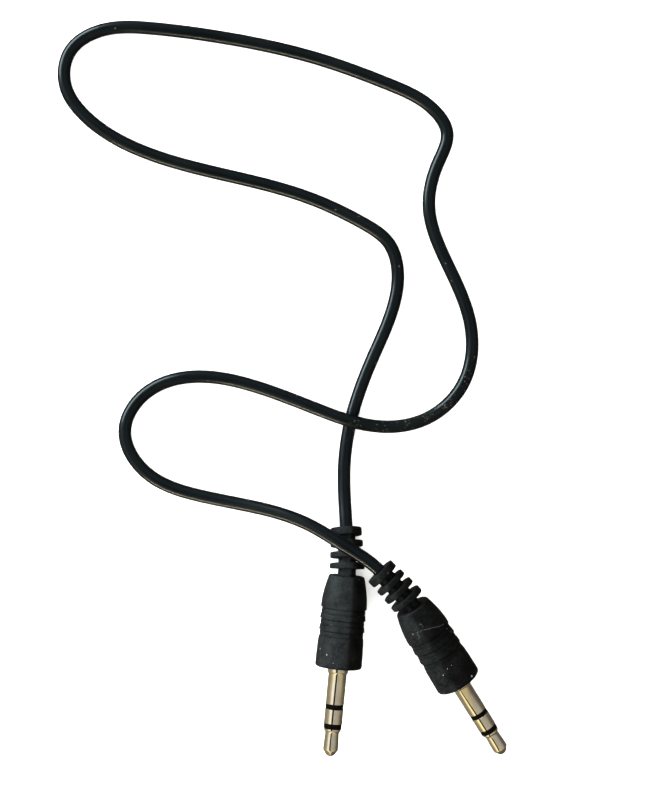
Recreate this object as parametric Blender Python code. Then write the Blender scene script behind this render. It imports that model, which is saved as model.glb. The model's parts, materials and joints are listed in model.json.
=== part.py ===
"""A short stereo patch lead: two straight moulded 3.5 mm plugs on one thin round cord.

Units are metres and +Z is up. The surface that the lead lies on is z = 0, and the
origin is on it, below the middle of the box around the two plugs. Plug a lies flat.
Plug b's cord passes over plug a's strain relief, so plug b leans on its tip.

A plug is drawn along its own X axis: the moulding's front face is at x = 0, the jack
points along +X, and the cord leaves towards -X. Its strain relief is then bent.
"""

import math

import bmesh
import bpy
import numpy as np
from mathutils import Euler, Vector

# Jack, from the moulding's front face to the tip
JACK_RADIUS = 0.00175
COLLAR_RADIUS = 0.00196
COLLAR_LENGTH = 0.00085
COLLAR_BEVEL = 0.0004
SLEEVE_LENGTH = 0.00575
SLEEVE_BAND_WIDTH = 0.0009
RING_LENGTH = 0.0028
RING_BAND_WIDTH = 0.00095
TIP_LENGTH = 0.0053
TIP_BASE_RADIUS = 0.00162
TIP_NECK_RADIUS = 0.00133
TIP_BALL_RADIUS = 0.00145
TIP_BASE_LENGTH = 0.0004
TIP_NOSE_LENGTH = 0.00125
TIP_NOSE_RADIUS = 0.00035
BAND_RECESS = 0.00004

# Jack, inside: the sleeve, the ring's tube and their insulators, one in the other
SLEEVE_WALL = 0.00028
INSULATOR_WALL = 0.00026
RING_TUBE_WALL = 0.00025
NEST_GAP = 0.00005
FACE_GAP = 0.00006

# Jack, behind the front face: the base and the stack of terminals and washers
COLLAR_SET_IN = 0.0013
WASHER_RADIUS = 0.0022
WASHER_THICKNESS = 0.0006
FLANGE_LIP = 0.0002
BASE_FLANGE_RADIUS = WASHER_RADIUS + FLANGE_LIP
BASE_FLANGE_THICKNESS = 0.0010
TERMINAL_INSET = 0.0002
TERMINAL_RADIUS = WASHER_RADIUS - TERMINAL_INSET
TERMINAL_THICKNESS = 0.0004
STACK_GAP = 0.0001
ROD_END = 0.0006
TAB_WIDTH = 0.0011
TAB_THICKNESS = 0.0003
TAB_LENGTH = 0.0013

# Conductors, where they come out of the cord inside each plug
CORE_RADIUS = 0.00038
SCREEN_RADIUS = 0.00030
CORE_SPREAD = 0.00062
CORE_CLEARANCE = 0.00012
CORE_BEND_LENGTH = 0.0030
CORE_BEND_EASE = 0.15
SOLDER_RADIUS = 0.00038
SOLDER_GAP = 0.00008
CORE_BORE_RADIUS = CORE_SPREAD + CORE_RADIUS + CORE_CLEARANCE

# Inner block, a cup round the stack, and the hollow that holds it
INNER_WALL = 0.0004
BLOCK_TAIL = 0.00148
FRONT_WALL = 0.0009
PART_GAP = 0.0003

# Moulding: the body and its grip grooves
BODY_LENGTH = 0.0176
BODY_RADIUS = 0.00437
FRONT_FLARE = 0.0001
FRONT_RADIUS = BODY_RADIUS + FRONT_FLARE
FRONT_EDGE = 0.0005
SHOULDER_RADIUS = 0.00345
SHOULDER_EDGE = 0.0004
TAPER_LENGTH = 0.0046
TAPER_EARLY_RISE = 0.9
GROOVE_COUNT = 3
GROOVE_START = 0.0062
GROOVE_PITCH = 0.00215
GROOVE_DEPTH = 0.00020
GROOVE_FLOOR_SHARE = 0.8

# Strain relief: a core with round fins, the last one thicker
FIN_COUNT = 4
FIN_THICKNESS = 0.00112
FIN_GAP = 0.00100
ROOT_GAP = 0.00125
END_FIN_THICKNESS = 0.00152
END_FIN_RADIUS = 0.0030
ROOT_FIN_RADIUS = 0.00336
FIN_EDGE = 0.00022
RELIEF_CORE_RADIUS = 0.00172
BEND_EASING = 0.0016
BEND_STEPS = 24
RELIEF_LENGTH = ROOT_GAP + (FIN_COUNT - 1) * (FIN_GAP + FIN_THICKNESS) + END_FIN_THICKNESS

# Cord
CORD_RADIUS = 0.00125
CORD_POINTS = 78
ROUTE_STEPS = 20

# How the plugs lie: where the cord enters, the body's heading, and the relief's bends
PLUG_A = {
    "entry": (-0.01243, 0.02184),
    "heading": math.radians(-95.4),
    "bend_aside": math.radians(7.5),
    "bend_down": math.radians(10.0),
}
PLUG_B = {
    "entry": (-0.00616, 0.01403),
    "heading": math.radians(-58.3),
    "bend_aside": math.radians(12.8),
    "bend_down": math.radians(9.0),
}

# The cord's way from plug a to plug b: x, y and the height of its middle
ROUTE = (
    (-0.01244, 0.02213, 0.00287),
    (-0.0127, 0.0267, 0.00200),
    (-0.0127, 0.0351, 0.00130),
    (-0.0110, 0.0444, 0.00130),
    (-0.0076, 0.0538, 0.00130),
    (-0.0034, 0.0642, 0.00130),
    (-0.0025, 0.0708, 0.00130),
    (-0.0042, 0.0764, 0.00130),
    (-0.0092, 0.0803, 0.00130),
    (-0.0194, 0.0851, 0.00130),
    (-0.0424, 0.0912, 0.00130),
    (-0.0536, 0.0950, 0.00130),
    (-0.0623, 0.1006, 0.00130),
    (-0.0665, 0.1071, 0.00130),
    (-0.0655, 0.1134, 0.00130),
    (-0.0598, 0.1173, 0.00130),
    (-0.0501, 0.1178, 0.00130),
    (-0.0344, 0.1157, 0.00130),
    (-0.0178, 0.1119, 0.00130),
    (-0.0037, 0.1068, 0.00130),
    (0.0041, 0.1024, 0.00130),
    (0.0070, 0.0976, 0.00130),
    (0.0053, 0.0920, 0.00130),
    (0.0035, 0.0834, 0.00130),
    (0.0074, 0.0717, 0.00130),
    (0.0116, 0.0600, 0.00130),
    (0.0102, 0.0497, 0.00130),
    (0.0029, 0.0427, 0.00210),
    (-0.0075, 0.0414, 0.00400),
    (-0.0179, 0.0445, 0.00370),
    (-0.0309, 0.0492, 0.00190),
    (-0.0412, 0.0508, 0.00135),
    (-0.0511, 0.0475, 0.00130),
    (-0.0550, 0.0405, 0.00130),
    (-0.0513, 0.0327, 0.00130),
    (-0.0413, 0.0281, 0.00180),
    (-0.0293, 0.0257, 0.00370),
    (-0.0194, 0.0226, 0.00670),
    (-0.0127, 0.0187, 0.00820),
    (-0.00637, 0.01424, 0.00801),
)

OUTER_SIDES = 24
INNER_SIDES = 16


def clear_scene():
    for obj in list(bpy.data.objects):
        bpy.data.objects.remove(obj, do_unlink=True)


def material(name, color, roughness, metallic=0.0):
    found = bpy.data.materials.get(name)
    if found:
        return found
    made = bpy.data.materials.new(name)
    made.use_nodes = True
    shader = made.node_tree.nodes["Principled BSDF"]
    shader.inputs["Base Color"].default_value = (*color, 1.0)
    shader.inputs["Roughness"].default_value = roughness
    shader.inputs["Metallic"].default_value = metallic
    return made


def black_moulding():
    return material("black_moulding", (0.012, 0.014, 0.015), 0.55)


def black_jacket():
    return material("black_jacket", (0.010, 0.012, 0.014), 0.40)


def nickel():
    return material("nickel", (0.72, 0.66, 0.55), 0.18, 1.0)


def tinned_brass():
    return material("tinned_brass", (0.60, 0.56, 0.48), 0.35, 1.0)


def band_plastic():
    return material("band_plastic", (0.010, 0.010, 0.010), 0.35)


def block_plastic():
    return material("block_plastic", (0.75, 0.76, 0.74), 0.50)


def red_insulation():
    return material("red_insulation", (0.45, 0.02, 0.02), 0.45)


def white_insulation():
    return material("white_insulation", (0.78, 0.78, 0.75), 0.45)


def bare_copper():
    return material("bare_copper", (0.72, 0.38, 0.22), 0.30, 1.0)


def solder():
    return material("solder", (0.62, 0.63, 0.64), 0.30, 1.0)


def finished(bm, name, finish, parent, sharp_degrees=30.0):
    """The object of this bmesh, with its normals facing out and its round sides smooth."""
    bmesh.ops.recalc_face_normals(bm, faces=bm.faces)
    mesh = bpy.data.meshes.new(name)
    bm.to_mesh(mesh)
    bm.free()
    mesh.shade_smooth()
    mesh.set_sharp_from_angle(angle=math.radians(sharp_degrees))
    mesh.materials.append(finish)
    obj = bpy.data.objects.new(name, mesh)
    bpy.context.collection.objects.link(obj)
    obj.parent = parent
    return obj


def revolved(outline, sides):
    """A bmesh of a closed (x, radius) outline turned about X, with a corner straight down."""
    bm = bmesh.new()
    corners = [bm.verts.new((x, 0.0, -radius)) for x, radius in outline]
    edges = [
        bm.edges.new((first, second))
        for first, second in zip(corners, corners[1:] + corners[:1])
        if first.co.z < 0.0 or second.co.z < 0.0
    ]
    bmesh.ops.spin(
        bm,
        geom=corners + edges,
        cent=(0.0, 0.0, 0.0),
        axis=(1.0, 0.0, 0.0),
        angle=math.tau,
        steps=sides,
        use_merge=True,
    )
    bmesh.ops.remove_doubles(bm, verts=bm.verts, dist=1e-6)
    return bm


def jack_stations():
    """Where each jack piece starts along X, counted from the moulding's front face."""
    sleeve_end = COLLAR_LENGTH + COLLAR_BEVEL + SLEEVE_LENGTH
    ring_start = sleeve_end + SLEEVE_BAND_WIDTH
    ring_end = ring_start + RING_LENGTH
    tip_start = ring_end + RING_BAND_WIDTH
    return {
        "sleeve_end": sleeve_end,
        "ring_start": ring_start,
        "ring_end": ring_end,
        "tip_start": tip_start,
        "tip_end": tip_start + TIP_LENGTH,
    }


def stack_stations():
    """Where each disc of the stack behind the sleeve's base has its front face."""
    places = {"base": -COLLAR_SET_IN}
    at = -COLLAR_SET_IN - BASE_FLANGE_THICKNESS - STACK_GAP
    for name, thickness in (
        ("ground_terminal", TERMINAL_THICKNESS),
        ("base_washer", WASHER_THICKNESS),
        ("ring_terminal", TERMINAL_THICKNESS),
        ("tip_washer", WASHER_THICKNESS),
        ("tip_terminal", TERMINAL_THICKNESS),
    ):
        places[name] = at
        at -= thickness + STACK_GAP
    places["end"] = at
    return places


def nested_radii():
    """Inner and outer radius of each tube in the jack, from the sleeve inwards to the rod."""
    radii = {}
    outer = JACK_RADIUS
    for name, wall in (
        ("sleeve_contact", SLEEVE_WALL),
        ("ring_insulator", INSULATOR_WALL),
        ("ring_contact", RING_TUBE_WALL),
        ("tip_insulator", INSULATOR_WALL),
    ):
        radii[name] = (outer - wall, outer)
        outer -= wall + NEST_GAP
    radii["tip_rod"] = (0.0, outer)
    return radii


def tip_contact(name, parent):
    at = jack_stations()
    rod = nested_radii()["tip_rod"][1]
    neck = at["tip_start"] + TIP_BASE_LENGTH
    ball = at["tip_end"] - TIP_NOSE_LENGTH
    outline = (
        (stack_stations()["end"] - ROD_END, 0.0),
        (stack_stations()["end"] - ROD_END, rod),
        (at["tip_start"], rod),
        (at["tip_start"], TIP_BASE_RADIUS),
        (neck, TIP_BASE_RADIUS),
        (neck + TIP_BASE_RADIUS - TIP_NECK_RADIUS, TIP_NECK_RADIUS),
        (ball - TIP_NOSE_LENGTH / 3, TIP_BALL_RADIUS),
        (ball, TIP_BALL_RADIUS),
        (at["tip_end"] - TIP_NOSE_RADIUS / 2, TIP_NOSE_RADIUS * 2),
        (at["tip_end"], TIP_NOSE_RADIUS),
        (at["tip_end"], 0.0),
    )
    return finished(revolved(outline, INNER_SIDES), name, nickel(), parent)


def flanged_tube(name, parent, finish, radii, back, head_start, head_end, head_radius):
    """A tube along X with a head at its front, such as an insulator with its visible band."""
    inner, outer = radii
    outline = (
        (back, inner),
        (back, outer),
        (head_start, outer),
        (head_start, head_radius),
        (head_end, head_radius),
        (head_end, inner),
    )
    return finished(revolved(outline, INNER_SIDES), name, finish, parent)


def jack_tubes(suffix, parent):
    """The tip's insulator, the ring, and the ring's insulator, one in the other."""
    at = jack_stations()
    stack = stack_stations()
    radii = nested_radii()
    band_radius = JACK_RADIUS - BAND_RECESS
    flanged_tube(
        "tip_insulator" + suffix,
        parent,
        band_plastic(),
        radii["tip_insulator"],
        stack["tip_washer"] - WASHER_THICKNESS,
        at["ring_end"] + FACE_GAP,
        at["tip_start"] - FACE_GAP,
        band_radius,
    )
    flanged_tube(
        "ring_contact" + suffix,
        parent,
        nickel(),
        radii["ring_contact"],
        stack["ring_terminal"] - TERMINAL_THICKNESS,
        at["ring_start"],
        at["ring_end"],
        JACK_RADIUS,
    )
    flanged_tube(
        "ring_insulator" + suffix,
        parent,
        band_plastic(),
        radii["ring_insulator"],
        stack["base_washer"] - WASHER_THICKNESS,
        at["sleeve_end"] + FACE_GAP,
        at["ring_start"] - FACE_GAP,
        band_radius,
    )


def sleeve_contact(name, parent):
    inner = nested_radii()["sleeve_contact"][0]
    base_back = -COLLAR_SET_IN - BASE_FLANGE_THICKNESS
    outline = (
        (base_back, inner),
        (base_back, BASE_FLANGE_RADIUS),
        (-COLLAR_SET_IN, BASE_FLANGE_RADIUS),
        (-COLLAR_SET_IN, COLLAR_RADIUS),
        (COLLAR_LENGTH, COLLAR_RADIUS),
        (COLLAR_LENGTH + COLLAR_BEVEL, JACK_RADIUS),
        (jack_stations()["sleeve_end"], JACK_RADIUS),
        (jack_stations()["sleeve_end"], inner),
    )
    return finished(revolved(outline, INNER_SIDES), name, nickel(), parent)


def washer(name, parent, front, bore):
    outline = (
        (front - WASHER_THICKNESS, bore),
        (front - WASHER_THICKNESS, WASHER_RADIUS),
        (front, WASHER_RADIUS),
        (front, bore),
    )
    return finished(revolved(outline, INNER_SIDES), name, block_plastic(), parent)


def tab_angle(index):
    """The direction of a conductor and its terminal's tab, seen along the plug."""
    return math.tau * index / 3 - math.pi / 2


def terminal(name, parent, front, bore, index):
    """A flat ring on the stack with a tab that reaches back to its conductor."""
    back = front - TERMINAL_THICKNESS
    tab_end = stack_stations()["end"] - TAB_LENGTH
    outline = (
        (back, bore),
        (back, TERMINAL_RADIUS),
        (front, TERMINAL_RADIUS),
        (front, bore),
    )
    ring = finished(revolved(outline, INNER_SIDES), name, tinned_brass(), parent)
    rim = WASHER_RADIUS + STACK_GAP
    bm = bmesh.new()
    turned = tab_angle(index)
    for x_from, x_to, low, high in (
        (back, front, TERMINAL_RADIUS - TAB_THICKNESS, rim + TAB_THICKNESS),
        (tab_end, front, rim, rim + TAB_THICKNESS),
    ):
        made = bmesh.ops.create_cube(bm, size=1.0)["verts"]
        for vert in made:
            x = x_from if vert.co.x < 0.0 else x_to
            out = low if vert.co.y < 0.0 else high
            side = TAB_WIDTH * vert.co.z
            vert.co.x = x
            vert.co.y = out * math.cos(turned) - side * math.sin(turned)
            vert.co.z = out * math.sin(turned) + side * math.cos(turned)
    helper = finished(bm, name + "_tab_tool", tinned_brass(), parent)
    union_with(ring, helper)
    return ring


def union_with(obj, tool):
    """Joins tool's solid to obj's, and keeps tool out of the model."""
    tool.hide_render = True
    tool.display_type = "WIRE"
    joined = obj.modifiers.new("join", "BOOLEAN")
    joined.operation = "UNION"
    joined.use_self = True
    joined.object = tool


def jack_stack(suffix, parent):
    """The terminals and washers, each threaded on the tube or rod that it's named with."""
    stack = stack_stations()
    radii = nested_radii()
    terminals = (
        ("ground_terminal", "ring_insulator"),
        ("ring_terminal", "ring_contact"),
        ("tip_terminal", "tip_rod"),
    )
    for index, (piece, threaded_on) in enumerate(terminals):
        bore = radii[threaded_on][1] + NEST_GAP
        terminal(piece + suffix, parent, stack[piece], bore, index)
    for piece, threaded_on in (
        ("base_washer", "ring_insulator"),
        ("tip_washer", "tip_insulator"),
    ):
        washer(piece + suffix, parent, stack[piece], radii[threaded_on][1] + NEST_GAP)


def relief_station(behind, plug):
    """How far back and aside the relief's middle is here, and how far it has turned.

    The relief turns most where it leaves the body, and less and less towards the cord.
    """
    bend = math.hypot(plug["bend_aside"], plug["bend_down"])
    back = aside = 0.0
    step = behind / BEND_STEPS
    for index in range(BEND_STEPS):
        turned = bend * (1.0 - math.exp(-(index + 0.5) * step / BEND_EASING))
        back += step * math.cos(turned)
        aside += step * math.sin(turned)
    return back, aside, bend * (1.0 - math.exp(-behind / BEND_EASING))


def bent(point, plug):
    """Where a point drawn on the straight plug goes when its strain relief is bent."""
    behind = -BODY_LENGTH - point.x
    if behind <= 0.0:
        return point.copy()
    back, aside, turned = relief_station(behind, plug)
    side = Vector((0.0, -plug["bend_aside"], -plug["bend_down"])).normalized()
    across = point.dot(side)
    rest = Vector((0.0, point.y, point.z)) - side * across
    along = -BODY_LENGTH - back + across * math.sin(turned)
    return Vector((along, 0.0, 0.0)) + side * (aside + across * math.cos(turned)) + rest


def body_outline():
    """The moulding's outside from the shoulder to the front face."""
    points = [
        (-BODY_LENGTH, SHOULDER_RADIUS - SHOULDER_EDGE),
        (-BODY_LENGTH + SHOULDER_EDGE / 2, SHOULDER_RADIUS),
    ]
    taper_end = -BODY_LENGTH + TAPER_LENGTH
    rise = BODY_RADIUS - SHOULDER_RADIUS
    points.append((taper_end - TAPER_LENGTH / 5, SHOULDER_RADIUS + TAPER_EARLY_RISE * rise))
    for index in range(GROOVE_COUNT):
        ridge = -BODY_LENGTH + GROOVE_START + index * GROOVE_PITCH
        points.append((ridge, BODY_RADIUS))
        points.append((ridge + GROOVE_PITCH / 5, BODY_RADIUS - GROOVE_DEPTH))
        floor_end = ridge + 3 * GROOVE_PITCH / 5
        points.append((floor_end, BODY_RADIUS - GROOVE_FLOOR_SHARE * GROOVE_DEPTH))
    grip_end = -BODY_LENGTH + GROOVE_START + GROOVE_COUNT * GROOVE_PITCH
    points.append((grip_end, BODY_RADIUS))
    points.append((-FRONT_EDGE, FRONT_RADIUS))
    points.append((-FRONT_EDGE / 4, FRONT_RADIUS - FRONT_EDGE / 3))
    points.append((0.0, FRONT_RADIUS - FRONT_EDGE))
    return points


def relief_outline():
    """The strain relief's outside from the cord's end to the shoulder."""
    points = []
    start = -BODY_LENGTH - RELIEF_LENGTH
    for index in range(FIN_COUNT):
        share = index / (FIN_COUNT - 1)
        radius = END_FIN_RADIUS + share * (ROOT_FIN_RADIUS - END_FIN_RADIUS)
        thickness = END_FIN_THICKNESS if index == 0 else FIN_THICKNESS
        end = start + thickness
        foot = RELIEF_CORE_RADIUS if index else CORE_BORE_RADIUS
        points += [
            (start, foot),
            (start, radius - FIN_EDGE),
            (start + FIN_EDGE, radius),
            (end - FIN_EDGE, radius),
            (end, radius - FIN_EDGE),
            (end, RELIEF_CORE_RADIUS),
        ]
        start = end + FIN_GAP
    points.append((-BODY_LENGTH, RELIEF_CORE_RADIUS))
    return points


def conductor_stations():
    """Where a conductor starts to spread, and where it ends behind its solder."""
    end = stack_stations()["end"] - TAB_LENGTH - SOLDER_GAP * 2 - SOLDER_RADIUS * 2
    return end - CORE_BEND_LENGTH, end


def block_size():
    """The inner block's bore, its outer radius and its back face, from what it holds."""
    bore = max(BASE_FLANGE_RADIUS, WASHER_RADIUS + STACK_GAP + TAB_THICKNESS) + STACK_GAP
    return bore, bore + INNER_WALL, conductor_stations()[0] - BLOCK_TAIL - INNER_WALL


def hollow_outline():
    """The moulding's inside from the front opening back to the conductors' bore."""
    opening = COLLAR_RADIUS + PART_GAP
    _, block_radius, block_back = block_size()
    hollow_radius = block_radius + PART_GAP
    hollow_end = block_back - PART_GAP
    return [
        (0.0, opening),
        (-FRONT_WALL, opening),
        (-FRONT_WALL, hollow_radius),
        (hollow_end, hollow_radius),
        (hollow_end, CORE_BORE_RADIUS),
        (-BODY_LENGTH, CORE_BORE_RADIUS),
        (-BODY_LENGTH - BEND_EASING / 2, CORE_BORE_RADIUS),
        (-BODY_LENGTH - BEND_EASING, CORE_BORE_RADIUS),
        (-BODY_LENGTH - 2 * BEND_EASING, CORE_BORE_RADIUS),
    ]


def overmould(name, parent, plug):
    outline = relief_outline() + body_outline() + hollow_outline()
    bm = revolved(outline, OUTER_SIDES)
    for vert in bm.verts:
        vert.co = bent(vert.co, plug)
    return finished(bm, name, black_moulding(), parent)


def inner_block(name, parent):
    """The cup of stiff plastic round the terminals, open at the front."""
    bore, outer, back = block_size()
    front = -FRONT_WALL - PART_GAP
    outline = (
        (back, CORE_BORE_RADIUS),
        (back, outer),
        (front, outer),
        (front, bore),
        (back + INNER_WALL, bore),
        (back + INNER_WALL, CORE_BORE_RADIUS),
    )
    return finished(revolved(outline, OUTER_SIDES), name, block_plastic(), parent)


def conductor_reach():
    """How far from the plug's axis a conductor meets its tab."""
    return WASHER_RADIUS + STACK_GAP + TAB_THICKNESS / 2 - CORE_RADIUS / 2


def conductor(name, parent, plug, index, radius, finish):
    """A conductor from the cord's end, through the strain relief, to its terminal's tab."""
    turned = tab_angle(index)
    outwards = Vector((0.0, math.cos(turned), math.sin(turned)))
    spread_from, end = conductor_stations()
    start = -BODY_LENGTH - RELIEF_LENGTH
    reach = conductor_reach()
    ease = CORE_BEND_EASE * (reach - CORE_SPREAD)
    stations = [
        (start, CORE_SPREAD),
        (-BODY_LENGTH - 2 * BEND_EASING, CORE_SPREAD),
        (-BODY_LENGTH - BEND_EASING, CORE_SPREAD),
        (-BODY_LENGTH - BEND_EASING / 2, CORE_SPREAD),
        (-BODY_LENGTH, CORE_SPREAD),
        (spread_from, CORE_SPREAD),
        (spread_from + CORE_BEND_LENGTH / 4, CORE_SPREAD + ease),
        (end - CORE_BEND_LENGTH / 4, reach - ease),
        (end, reach),
    ]
    path = [bent(Vector((x, 0.0, 0.0)) + outwards * out, plug) for x, out in stations]
    return tube(name, path, radius, finish, parent, sides_level=1)


def solder_joint(name, parent, index):
    """A bead of solder between a conductor's end and its terminal's tab."""
    turned = tab_angle(index)
    reach = conductor_reach()
    middle = stack_stations()["end"] - TAB_LENGTH - SOLDER_GAP - SOLDER_RADIUS
    bm = bmesh.new()
    bmesh.ops.create_icosphere(bm, subdivisions=1, radius=SOLDER_RADIUS)
    for vert in bm.verts:
        vert.co += Vector((middle, reach * math.cos(turned), reach * math.sin(turned)))
    return finished(bm, name, solder(), parent, sharp_degrees=80.0)


def tube(name, path, radius, finish, parent=None, sides_level=2):
    """A round tube with closed ends along these points."""
    curve = bpy.data.curves.new(name, "CURVE")
    curve.dimensions = "3D"
    curve.bevel_depth = radius
    curve.bevel_resolution = sides_level
    curve.use_fill_caps = True
    spline = curve.splines.new("POLY")
    spline.points.add(len(path) - 1)
    for point, place in zip(spline.points, path):
        point.co = (*place, 1.0)
    curve.materials.append(finish)
    obj = bpy.data.objects.new(name, curve)
    bpy.context.collection.objects.link(obj)
    obj.parent = parent
    return obj


def smooth_route(route, count):
    """Evenly spaced points on the natural cubic spline through the route's points."""
    knots = np.array(route)
    spans = np.linalg.norm(np.diff(knots, axis=0), axis=1)
    times = np.concatenate([[0.0], np.cumsum(spans)])
    matrix = np.eye(len(knots))
    target = np.zeros_like(knots)
    for i in range(1, len(knots) - 1):
        matrix[i, i - 1 : i + 2] = spans[i - 1], 2 * (spans[i - 1] + spans[i]), spans[i]
        slopes = np.diff(knots[i - 1 : i + 2], axis=0) / spans[i - 1 : i + 1, None]
        target[i] = 6 * (slopes[1] - slopes[0])
    bends = np.linalg.solve(matrix, target)
    fine = np.linspace(0.0, times[-1], ROUTE_STEPS * len(knots))
    which = np.clip(np.searchsorted(times, fine, side="right") - 1, 0, len(spans) - 1)
    span = spans[which, None]
    before = fine[:, None] - times[which, None]
    after = span - before
    curve = (bends[which] * after**3 + bends[which + 1] * before**3) / (6 * span)
    curve += (knots[which] / span - bends[which] * span / 6) * after
    curve += (knots[which + 1] / span - bends[which + 1] * span / 6) * before
    steps = np.linalg.norm(np.diff(curve, axis=0), axis=1)
    along = np.concatenate([[0.0], np.cumsum(steps)])
    even = np.linspace(0.0, along[-1], count)
    return np.column_stack([np.interp(even, along, curve[:, axis]) for axis in range(3)])


def lying_pitch():
    """Plug a's pitch, lying on its front rim and the first ridge of its grip."""
    run = BODY_LENGTH - GROOVE_START - FRONT_EDGE
    return -math.atan2(FRONT_FLARE, run)


def leaning_pitch():
    """Plug b's pitch, leaning forwards on its front rim and the ball of its tip."""
    run = jack_stations()["tip_end"] - TIP_NOSE_LENGTH + FRONT_EDGE
    return math.atan2(FRONT_RADIUS - TIP_BALL_RADIUS, run)


def placed_plug(name, plug, pitch):
    """The empty that carries a plug, so that its cord enters at its place on the surface."""
    turn = Euler((0.0, pitch, plug["heading"])).to_matrix()
    entry = bent(Vector((-BODY_LENGTH - RELIEF_LENGTH, 0.0, 0.0)), plug)
    rim = turn @ Vector((-FRONT_EDGE, 0.0, 0.0))
    rim.z -= FRONT_RADIUS * math.cos(pitch)
    carrier = bpy.data.objects.new(name, None)
    bpy.context.collection.objects.link(carrier)
    carrier.rotation_euler = (0.0, pitch, plug["heading"])
    carrier.location = Vector((*plug["entry"], 0.0)) - turn @ entry
    carrier.location.z = -rim.z
    return carrier


def plug_assembly(suffix, plug, pitch):
    carrier = placed_plug("plug" + suffix, plug, pitch)
    tip_contact("tip_contact" + suffix, carrier)
    jack_tubes(suffix, carrier)
    sleeve_contact("sleeve_contact" + suffix, carrier)
    jack_stack(suffix, carrier)
    inner_block("inner_block" + suffix, carrier)
    overmould("overmould" + suffix, carrier, plug)
    conductor("screen_wire" + suffix, carrier, plug, 0, SCREEN_RADIUS, bare_copper())
    conductor("right_core" + suffix, carrier, plug, 1, CORE_RADIUS, red_insulation())
    conductor("left_core" + suffix, carrier, plug, 2, CORE_RADIUS, white_insulation())
    solder_joint("screen_solder" + suffix, carrier, 0)
    solder_joint("right_solder" + suffix, carrier, 1)
    solder_joint("left_solder" + suffix, carrier, 2)
    return carrier


clear_scene()
plug_assembly("_a", PLUG_A, lying_pitch())
plug_assembly("_b", PLUG_B, leaning_pitch())
tube("cord_jacket", smooth_route(ROUTE, CORD_POINTS), CORD_RADIUS, black_jacket())
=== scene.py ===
"""The looks of the short stereo patch lead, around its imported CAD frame.

Everything is in metres, in the frame's own axes: +Z up, the surface at z = 0. A plug is
drawn along its own X axis, as in the CAD: the moulding's front face is at x = 0, the jack
points along +X and the cord leaves towards -X. plug_frame() then finds where it lies.
"""

import json
import math

import bpy
import numpy as np
from mathutils import Matrix, Vector


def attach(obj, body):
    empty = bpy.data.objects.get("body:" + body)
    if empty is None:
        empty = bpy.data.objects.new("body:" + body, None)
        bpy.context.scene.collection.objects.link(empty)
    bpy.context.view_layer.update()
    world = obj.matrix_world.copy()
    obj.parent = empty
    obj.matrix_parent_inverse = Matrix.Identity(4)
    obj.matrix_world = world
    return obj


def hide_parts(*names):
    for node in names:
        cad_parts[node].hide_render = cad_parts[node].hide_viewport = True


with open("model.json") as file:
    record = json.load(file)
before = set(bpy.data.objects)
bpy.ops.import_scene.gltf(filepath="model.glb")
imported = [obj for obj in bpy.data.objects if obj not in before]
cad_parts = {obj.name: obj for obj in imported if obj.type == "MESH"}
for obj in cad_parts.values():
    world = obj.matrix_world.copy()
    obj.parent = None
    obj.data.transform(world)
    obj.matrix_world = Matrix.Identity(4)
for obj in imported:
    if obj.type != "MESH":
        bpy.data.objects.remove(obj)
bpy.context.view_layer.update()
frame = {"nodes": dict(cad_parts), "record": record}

# Camera: straight above the lead
CAMERA_PLACE = (-0.0161, 0.0463, 0.370)
SENSOR = 36.0
FOCAL_LENGTH = 86.27

# Cord: its radius, and its way from plug a to plug b as x, y and the height of its middle
CORD_RADIUS = 0.00125
CORD_SPACING = 0.0006
CORD_SIDES_LEVEL = 8
CORD_INSIDE = 0.0012
SPLINE_FINENESS = 60
ROUTE = (
    (-0.01244, 0.02213, 0.00287),
    (-0.0127, 0.0267, 0.00200),
    (-0.0127, 0.0351, 0.00130),
    (-0.0110, 0.0444, 0.00130),
    (-0.0076, 0.0538, 0.00130),
    (-0.0034, 0.0642, 0.00130),
    (-0.0025, 0.0708, 0.00130),
    (-0.0042, 0.0764, 0.00130),
    (-0.0092, 0.0803, 0.00130),
    (-0.0194, 0.0851, 0.00130),
    (-0.0424, 0.0912, 0.00130),
    (-0.0536, 0.0950, 0.00130),
    (-0.0623, 0.1006, 0.00130),
    (-0.0665, 0.1071, 0.00130),
    (-0.0655, 0.1134, 0.00130),
    (-0.0598, 0.1173, 0.00130),
    (-0.0501, 0.1178, 0.00130),
    (-0.0344, 0.1157, 0.00130),
    (-0.0178, 0.1119, 0.00130),
    (-0.0037, 0.1068, 0.00130),
    (0.0041, 0.1024, 0.00130),
    (0.0070, 0.0976, 0.00130),
    (0.0053, 0.0920, 0.00130),
    (0.0035, 0.0834, 0.00130),
    (0.0074, 0.0717, 0.00130),
    (0.0116, 0.0600, 0.00130),
    (0.0102, 0.0497, 0.00130),
    (0.0029, 0.0427, 0.00210),
    (-0.0075, 0.0414, 0.00400),
    (-0.0179, 0.0445, 0.00370),
    (-0.0309, 0.0492, 0.00190),
    (-0.0412, 0.0508, 0.00135),
    (-0.0511, 0.0475, 0.00130),
    (-0.0550, 0.0405, 0.00130),
    (-0.0513, 0.0327, 0.00130),
    (-0.0413, 0.0281, 0.00180),
    (-0.0293, 0.0257, 0.00370),
    (-0.0194, 0.0226, 0.00670),
    (-0.0127, 0.0187, 0.00820),
    (-0.00637, 0.01424, 0.00801),
)

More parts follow.
